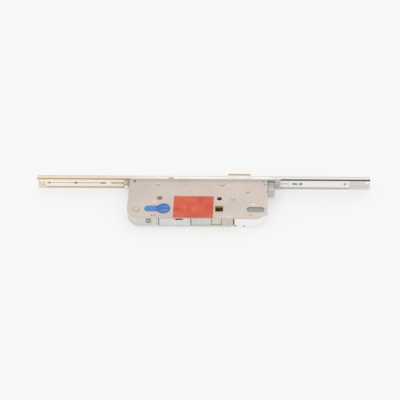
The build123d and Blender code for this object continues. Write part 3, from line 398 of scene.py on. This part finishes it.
# Main pieces, each a copy of its CAD node with broken edges
body_of = {name: body for body, names in frame["record"]["behaviour"]["bodies"].items() for name in names}
finishes = {
    "faceplate": (0.25, face_zinc),
    "case_cover": (0.2, cover_zinc),
    "slot_plate": (0.1, slot_steel),
    "case_pillars": (0.15, cover_zinc),
    "fixing_sleeve": (0.1, bore_grease_and_shade),
    "gear_axles": (0.15, cover_zinc),
    "gear_spacers": (0.1, gear_steel),
    "bolt_guide_pin": (0.15, gear_steel),
    "spring_seat": (0.2, gear_steel),
    "lower_bracket": (0.15, pale_steel),
    "lower_bracket_stud": (0.3, pale_steel),
    "lower_bracket_rivet": (0.2, bracket_steel),
    "upper_bracket": (0.25, bracket_steel),
    "upper_bracket_stud": (0.2, bracket_steel),
    "upper_bracket_rivet": (0.2, bracket_steel),
    "latch_guide": (0.15, white_plastic),
    "rear_shield": (0.12, shield_plastic),
    "spring_housing": (0.15, wall_zinc),
    "drive_slider": (0.1, rod_zinc),
    "lower_rod": (0.1, rod_zinc),
    "upper_rod": (0.1, rod_zinc),
    "rod_keys": (0.1, gear_steel),
    "coupling_block": (0.12, mottled_steel),
    "bolt_cam_plate": (0.1, gear_steel),
    "cam_studs": (0.25, gear_steel),
    "lower_roller": (0.15, gear_steel),
    "upper_roller": (0.15, gear_steel),
    "deadbolt": (0.2, latch_steel),
    "deadbolt_pin": (0.1, gear_steel),
    "latch_head": (0.3, latch_steel),
    "latch_tail": (0.15, gear_steel),
    "follower": (0.25, cast_brass),
    "spring_cap": (0.2, beige_plastic),
    "cam_wheel": (0.08, gear_steel),
    "rack_pinion": (0.08, gear_steel),
    "idler_gear": (0.08, gear_steel),
    "cylinder_plug": (0.35, blue_plastic),
}
for node, (width, material) in finishes.items():
    eased((node,), body_of[node], width * MM, material)
# The tray and its folded walls are one sheet
eased(("case_tray", "case_lower_wall", "case_upper_wall"), "case", 0.2 * MM, wall_zinc)
# The springs, which shorten as the latch goes in, each as a copy of its wire: (node, axis, travel of the
# spring's free end in mm)
for node, axis, travel in (("latch_spring", (0, 1, 0), 9.5), ("handle_spring", (1, 0, 0), 7.35)):
    spring_low, spring_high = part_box(node)
    spring = finish_piece(merged_copy(node), node + "_wire", body_of[node], spring_wire)
    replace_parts(spring, node)
    length = (spring_high - spring_low).dot(Vector(axis))
    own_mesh(spring)
# The label is a thin film with nearly sharp corners
label_low, label_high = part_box("label")
label = begin(bpy.ops.mesh.primitive_plane_add, size=1)
bpy.ops.transform.resize(value=(*(label_high - label_low).xy, 1), center_override=(0, 0, 0))
bpy.ops.mesh.bevel(offset=1.2 * MM, segments=4, affect="VERTICES")
bpy.ops.mesh.select_all(action="SELECT")
bpy.ops.mesh.extrude_region_move()
bpy.ops.transform.translate(value=(0, 0, (label_high - label_low).z))
bpy.ops.mesh.select_all(action="SELECT")
bpy.ops.transform.translate(value=(*((label_high + label_low) / 2).xy, label_low.z))
bpy.ops.mesh.normals_make_consistent(inside=False)
bpy.ops.object.mode_set(mode="OBJECT")
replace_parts(finish_piece(label, "label_sheet", "case", label_film), "label")

# Details on the cover

first_pillar = Vector((3.7, 46, on_cover))
# A peened ring with a dimple closes each pillar and axle, and the sheet is drawn in round it, where a
# darker ring paints the shade of the shallow groove
peened = [(2.2, 0.78), (2.15, 0.95), (1.9, 1.05), (1.25, 1.05), (1.0, 0.92), (0.0, 0.86)]
drawn_in = [(3.35, -0.05), (3.35, 0.05), (3.1, 0.1), (2.85, 0.05), (2.85, -0.05)]
for name, profile, material, steps in (
    ("peened_head", peened, head_zinc, 32),
    ("pressed_ring", drawn_in, press_line, 40),
):
    first = turned(profile, first_pillar, name + "_1", "case", material, steps=steps)
    for number, (x, y) in enumerate(((37, 32.5), (17, 19), (-81, 46.5)), start=2):
        repeat(first, Vector((x, y, on_cover)) - first_pillar, f"{name}_{number}", "case")
# The large pillar head has a fine dark outline, painted shade at its edge
turned(
    [(3.95, 0.7), (3.9, 0.8), (3.75, 0.84), (3.6, 0.8), (3.6, 0.7)],
    (-107.3, -1.4, on_cover),
    "large_head_outline",
    "case",
    oil_mark_and_shade,
)
turned(
    [(1.5, 0.75), (1.5, 0.85), (1.1, 0.9), (0.0, 0.9)],
    (-112.8, 50.9, on_cover),
    "small_head_oil",
    "case",
    oil_mark_and_shade,
    steps=24,
)
# Two small spot welds
weld = [(2.1, -0.05), (2.0, 0.06), (1.3, 0.1), (1.2, 0.05), (0.0, 0.05)]
first = turned(weld, (-84.4, 12.6, on_cover), "spot_weld_1", "case", spot_zinc, steps=24)
repeat(first, (44.1 + 84.4, 8.7 - 12.6, 0), "spot_weld_2", "case")
# Rubbed spots and pressed lines, each a thin step in the sheet, the pressed lines a little darker as
# painted shade: (X, Y, length, width, turn, tone)
marks = (
    (-86.8, -12.9, 1.7, 1.6, 0, oil_mark_and_shade),
    (-83.4, -12.9, 1.9, 1.6, 0, oil_mark_and_shade),
    (39.7, -11.6, 1.7, 1.5, 0, oil_mark_and_shade),
    (42.4, -11.6, 1.2, 1.4, 0, press_line),
    (-52.7, 49.7, 2.2, 2.0, 0, press_line),
    (-47.1, 45.8, 1.8, 1.6, 0, press_line),
    (-39.7, 33.6, 1.0, 4.5, 12, press_line),
    (-22.5, 49.5, 0.5, 12.5, 0, press_line),
    (-18.4, 43.3, 14.5, 0.5, 0, press_line),
    (-12.8, 36.4, 0.7, 4.0, 0, press_line),
    (11.9, 37.1, 1.6, 0.9, 0, press_line),
    (14.6, 37.1, 1.6, 0.9, 0, press_line),
    (35.5, 49.7, 1.2, 1.4, 0, press_line),
    (57.6, 51.6, 2.0, 1.6, 0, oil_mark_and_shade),
    (59.2, 45.6, 1.8, 2.0, 0, oil_mark_and_shade),
    (54.6, 38.5, 3.0, 0.7, 0, press_line),
    (13.6, -14.4, 6.5, 0.9, 40, bare_spot_and_highlight),
    (9.0, 43.8, 9.0, 0.5, 48, bare_spot_and_highlight),
)
for number, (x, y, length, width, turn, tone) in enumerate(marks, start=1):
    bar(
        (x - length / 2, y - width / 2, on_cover - 0.1),
        (x + length / 2, y + width / 2, on_cover + 0.06),
        0.04,
        f"cover_mark_{number}",
        "case",
        tone,
        turn,
    )

# A dark line on the edge of the flange at the lower end paints the shade beneath that edge
bar((-243.0, 53.8, 8.3), (-119.2, 54.2, 9.7), 0.05, "lower_flange_edge", "case", rod_line)

# Behind the openings of the case, with dark bars of painted shade in the window, the shield's slit and
# the wall's lances

bar((-80.5, -17.0, -5.95), (-77.9, -15.7, 5.95), 0.15, "wall_return", "case", wall_zinc)
bar((-95.0, -15.3, -5.9), (-86.2, -14.6, 2.6), 0.15, "window_plate", "case", bracket_steel)
bar((-95.0, -15.3, 2.9), (-86.2, -14.7, 5.9), 0.15, "window_shadow", "case", deep_painted_shade)
bar((-55.6, -17.0, 3.6), (-45.4, -16.4, 5.9), 0.1, "shield_slit_painted_shade", "case", deep_painted_shade)
bar((20.2, -17.0, -7.4), (22.4, -16.3, -5.2), 0.1, "wall_lance_1", "case", deep_painted_shade)
bar((31.0, -17.0, -7.4), (33.6, -16.3, -5.8), 0.1, "wall_lance_2", "case", deep_painted_shade)
# The cover's front edge is turned up over the edge of the flange
bar((-118.9, 51.95, 8.35), (62.2, 54.65, 8.75), 0.08, "cover_front_fold", "case", cover_zinc, tilt=63)
# A dark strip under the flange past the coupling paints the shadow in the channel
bar((80.0, 53.7, 7.65), (197.0, 54.6, 9.9), 0.1, "channel_painted_shadow", "case", deep_painted_shade)
# A brown disc just under the cover fills the wheel's hub as painted shade of its bore
turned(
    [(3.5, -0.45), (3.4, -0.3), (2.4, -0.3), (2.1, -0.4), (0.0, -0.35)],
    (-78, 19.5, on_cover),
    "hub_bore_painted_shade",
    "cam_wheel",
    bore_grease_and_shade,
)

# Ends of the case and the drive

turned(
    [(3.9, 0.0), (3.75, 0.35), (2.9, 0.75), (1.6, 1.0), (0.0, 1.1)],
    (-123.7, 47.3, 0),
    "stud_dome",
    "case",
    pale_steel,
    axis="Y",
)
# A dark ring round the stud's head paints the shade of the gap at its seat, which shows as a dark
# crescent beside the head
turned(
    [(0.0, 0.0), (4.0, 0.0), (4.25, 0.15), (4.25, 0.35), (4.0, 0.5), (0.0, 0.5)],
    (-124.15, 48.0, 0.45),
    "stud_seat_painted_shade",
    "case",
    oil_mark_and_shade,
    axis="Y",
)
# Fine teeth across the coupling block
first_tooth = bar((72.3, 53.15, -7.0), (79.2, 53.6, -6.3), 0.12, "block_tooth_1", "drive", mottled_steel)
tooth_pitch = 1.33
for number in range(1, 11):
    repeat(first_tooth, (0, 0, number * tooth_pitch), f"block_tooth_{number + 1}", "drive")
# Two pale bands across the upper bracket are painted highlights
bar((63.4, 39.2, 4.9), (71.2, 40.6, 5.25), 0.1, "bracket_band_1", "case", bare_spot_and_highlight)
bar((63.4, 50.4, 4.9), (71.2, 51.6, 5.25), 0.1, "bracket_band_2", "case", bare_spot_and_highlight)
bar((-231.0, 55.35, 0.1), (-150.5, 55.7, 0.6), 0.05, "lower_rod_line", "drive", rod_line)
bar((80.2, 55.35, 0.1), (90.5, 55.7, 0.6), 0.05, "upper_slider_line", "drive", rod_line)

# The plug's raised rim and its finger groove, in the darker blue of painted shade; the groove is a thin
# dark strip on the top
turned(
    [(8.3, 0.75), (8.25, 1.05), (7.9, 1.15), (7.5, 1.05), (7.45, 0.75)],
    (-72, 0, on_cover),
    "plug_rim",
    "cylinder_plug",
    blue_plastic_edge_shade,
    steps=48,
)
bar(
    (-78.0, -0.9, on_cover + 0.7),
    (-66.0, 0.3, on_cover + 0.95),
    0.1,
    "plug_ridge",
    "cylinder_plug",
    blue_plastic_edge_shade,
)

# Floor, light and camera

bpy.ops.mesh.primitive_plane_add(size=6, location=(0, 0, floor_z))
floor = bpy.context.active_object
floor.name = "floor"
floor_paint = bpy.data.materials.new("pale_floor")
floor_paint.use_nodes = True
floor_shader = floor_paint.node_tree.nodes["Principled BSDF"]
# Half of the floor's brightness is its own, which keeps the shadows of a light table soft
floor_shader.inputs["Base Color"].default_value = linear("b5b5b5")
floor_shader.inputs["Emission Color"].default_value = linear("ffffff")
floor_shader.inputs["Emission Strength"].default_value = 0.46
floor_shader.inputs["Roughness"].default_value = 0.9
floor.data.materials.append(floor_paint)

world = bpy.data.worlds.new("studio")
bpy.context.scene.world = world
world.use_nodes = True
world.node_tree.nodes["Background"].inputs["Color"].default_value = linear("ffffff")
world.node_tree.nodes["Background"].inputs["Strength"].default_value = 0.93


def soft_lamp(name, place, size, power):
    """A square soft box that looks at the middle of the case."""
    lamp = bpy.data.objects.new(name, bpy.data.lights.new(name, "AREA"))
    lamp.data.shape = "SQUARE"
    lamp.data.size = size
    lamp.data.energy = power
    lamp.location = place
    lamp.rotation_euler = (-Vector(place)).to_track_quat("-Z", "Y").to_euler()
    bpy.context.scene.collection.objects.link(lamp)


soft_lamp("key_soft_box", (-0.5, -0.5, 1.3), 0.9, 1.6)
soft_lamp("back_soft_box", (0.4, 0.9, 0.9), 0.8, 0.8)

camera_data = bpy.data.cameras.new("camera")
camera = bpy.data.objects.new("camera", camera_data)
bpy.context.scene.collection.objects.link(camera)
bpy.context.scene.camera = camera
picture_width = 400
focal_pixels = 1320
camera_data.sensor_width = 36
camera_data.lens = focal_pixels * camera_data.sensor_width / picture_width
camera.location = (0.0495, -1.220, 1.196)
camera.rotation_euler = (radians(90 - 43.839), radians(1.47), radians(2.05))

bpy.context.scene.view_settings.view_transform = "Standard"
